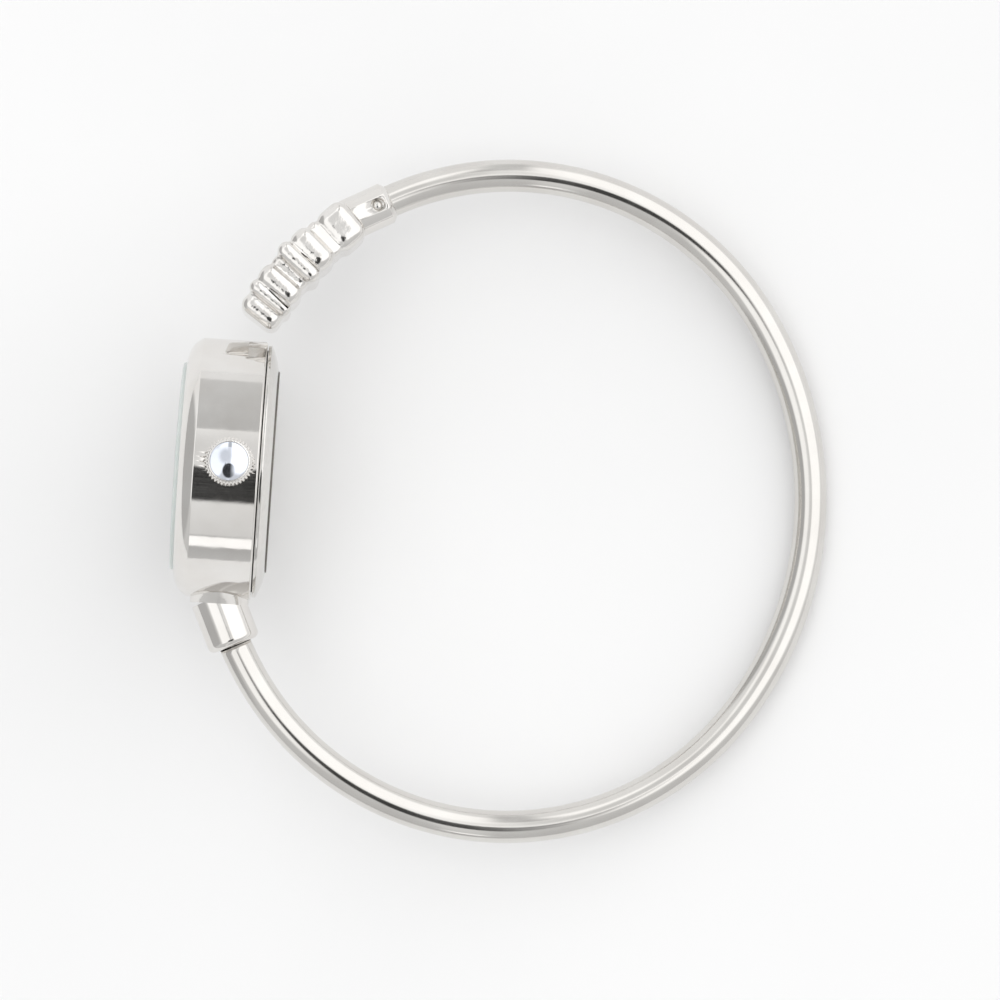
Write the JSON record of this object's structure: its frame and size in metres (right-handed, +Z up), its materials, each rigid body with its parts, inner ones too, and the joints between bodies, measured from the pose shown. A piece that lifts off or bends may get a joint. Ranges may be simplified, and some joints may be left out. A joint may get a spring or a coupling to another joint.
{
  "type": "bangle watch",
  "caption": "Bangle watch: a round analogue head on a stiff tubular hoop that springs open at a gap beside the case, with a ribbed cast terminal.",
  "frame": {"origin": "middle of the watch's footprint on the table, at table height", "axes": "+Z up from the table, -X towards the watch head, +Y towards 12 o'clock; the crown points up, leaning with the case"},
  "size_m": [0.0613, 0.0636, 0.0269],
  "materials": {
    "polished_plate": "mirror polished, bright silver-coloured plating",
    "crown_dome": "mirror polished dome",
    "stainless": "polished stainless steel",
    "crystal": "clear polished mineral glass",
    "black_rubber": "matte rubber",
    "clear_nylon": "translucent moulding",
    "dial_white": "satin white lacquer on brass",
    "hand_steel": "polished",
    "spacer_white": "moulded plastic",
    "movement_brass": "machined brass",
    "nickel_brass": "nickel-plated brass",
    "screw_steel": "polished screw steel",
    "core_iron": "soft magnetic iron, satin",
    "enamelled_copper": "enamelled wire",
    "board_green": "solder mask",
    "chip_resin": "epoxy resin",
    "cell_steel": "nickel-plated steel"
  },
  "bodies": {
    "watch": {"mid_case": "polished_plate", "crystal": "crystal", "crystal_gasket": "clear_nylon", "case_back": "stainless", "case_back_gasket": "black_rubber", "lug_socket": "polished_plate", "bangle_tube": "polished_plate", "dial": "dial_white", "hour_markers": "hand_steel", "case_tube": "stainless", "movement_spacer": "spacer_white", "main_plate": "nickel_brass", "train_bridge": "nickel_brass", "bridge_screws": "screw_steel", "coil_core": "core_iron", "coil_winding": "enamelled_copper", "coil_screws": "screw_steel", "stator": "core_iron", "circuit_board": "board_green", "timing_chip": "chip_resin", "quartz_can": "cell_steel", "battery": "cell_steel", "battery_clamp": "cell_steel", "clamp_screws": "screw_steel"},
    "terminal": {"terminal_ornament": "polished_plate", "cross_pin": "stainless"},
    "crown_seal": {"crown_gasket": "black_rubber"},
    "winding_crown": {"crown": "polished_plate", "crown_cap": "crown_dome", "setting_stem": "screw_steel"},
    "clutch": {"clutch_wheel": "screw_steel"},
    "lever": {"setting_lever": "screw_steel"},
    "yoke_arm": {"yoke": "screw_steel"},
    "seconds": {"fourth_wheel": "movement_brass", "second_hand": "hand_steel"},
    "third": {"third_wheel": "movement_brass"},
    "minutes": {"centre_wheel": "movement_brass", "minute_hand": "hand_steel"},
    "fifth": {"fifth_wheel": "movement_brass"},
    "rotor_arbor": {"rotor": "core_iron"},
    "motion_pinion": {"minute_wheel": "movement_brass"},
    "hours": {"hour_wheel": "movement_brass", "hour_hand": "hand_steel"},
    "setting": {"setting_wheel": "movement_brass"}
  },
  "joints": [
    {"name": "bangle_open", "type": "hinge", "parent": "watch", "child": "terminal", "pos_m": [0.0136, -0.00748, 0.00466], "axis": [-0.1992, 0, -0.98], "range_deg": [0, 20], "stiffness_Nm_per_rad": 4, "deforming": ["bangle_tube"]},
    {"name": "crown_pull", "type": "slide", "parent": "watch", "child": "crown_seal", "axis": [0.1992, 0, 0.98], "range_m": [0, 0.0008]},
    {"name": "crown_turn", "type": "hinge", "parent": "crown_seal", "child": "winding_crown", "pos_m": [-0.02145, 0.00105, 0.02434], "axis": [0.1992, 0, 0.98], "continuous": true},
    {"name": "clutch_slide", "type": "slide", "parent": "winding_crown", "child": "clutch", "axis": [0.1992, 0, 0.98], "range_m": [-0.00105, 0]},
    {"name": "lever_swing", "type": "hinge", "parent": "watch", "child": "lever", "pos_m": [-0.02154, -0.00115, 0.01936], "axis": [-0.98, 0, 0.1992], "range_deg": [-20.71, 0]},
    {"name": "yoke_swing", "type": "hinge", "parent": "watch", "child": "yoke_arm", "pos_m": [-0.02269, 0.00427, 0.01747], "axis": [-0.98, 0, 0.1992], "range_deg": [-5.83, 0]},
    {"name": "seconds_turn", "type": "hinge", "parent": "watch", "child": "seconds", "pos_m": [-0.02302, 0.00105, 0.01211], "axis": [0.98, 0, -0.1992], "continuous": true},
    {"name": "third_turn", "type": "hinge", "parent": "watch", "child": "third", "pos_m": [-0.02323, 0.00309, 0.01335], "axis": [0.98, 0, -0.1992], "continuous": true},
    {"name": "minutes_turn", "type": "hinge", "parent": "watch", "child": "minutes", "pos_m": [-0.02395, 0.00105, 0.0123], "axis": [0.98, 0, -0.1992], "continuous": true},
    {"name": "fifth_turn", "type": "hinge", "parent": "watch", "child": "fifth", "pos_m": [-0.02391, 0.00023, 0.01], "axis": [0.98, 0, -0.1992], "continuous": true},
    {"name": "rotor_turn", "type": "hinge", "parent": "watch", "child": "rotor_arbor", "pos_m": [-0.02375, -0.00094, 0.00825], "axis": [0.98, 0, -0.1992], "continuous": true},
    {"name": "motion_turn", "type": "hinge", "parent": "watch", "child": "motion_pinion", "pos_m": [-0.02448, 0.002, 0.01409], "axis": [0.98, 0, -0.1992], "continuous": true},
    {"name": "hours_turn", "type": "hinge", "parent": "watch", "child": "hours", "pos_m": [-0.02481, 0.00105, 0.01247], "axis": [0.98, 0, -0.1992], "continuous": true},
    {"name": "setting_turn", "type": "hinge", "parent": "watch", "child": "setting", "pos_m": [-0.02406, 0.00147, 0.01616], "axis": [0.98, 0, -0.1992], "continuous": true}
  ],
  "couplings": [
    {"joint": "clutch_slide", "follows": "crown_pull", "ratio": -1.3},
    {"joint": "lever_swing", "follows": "crown_pull", "rad_per_m": -449.63},
    {"joint": "yoke_swing", "follows": "crown_pull", "rad_per_m": -125},
    {"joint": "third_turn", "follows": "seconds_turn", "ratio": -0.13333},
    {"joint": "minutes_turn", "follows": "seconds_turn", "ratio": 0.016667},
    {"joint": "fifth_turn", "follows": "seconds_turn", "ratio": -6},
    {"joint": "rotor_turn", "follows": "seconds_turn", "ratio": 30},
    {"joint": "motion_turn", "follows": "seconds_turn", "ratio": -0.0055556},
    {"joint": "hours_turn", "follows": "seconds_turn", "ratio": 0.0013889},
    {"joint": "setting_turn", "follows": "seconds_turn", "ratio": 0.010417}
  ]
}
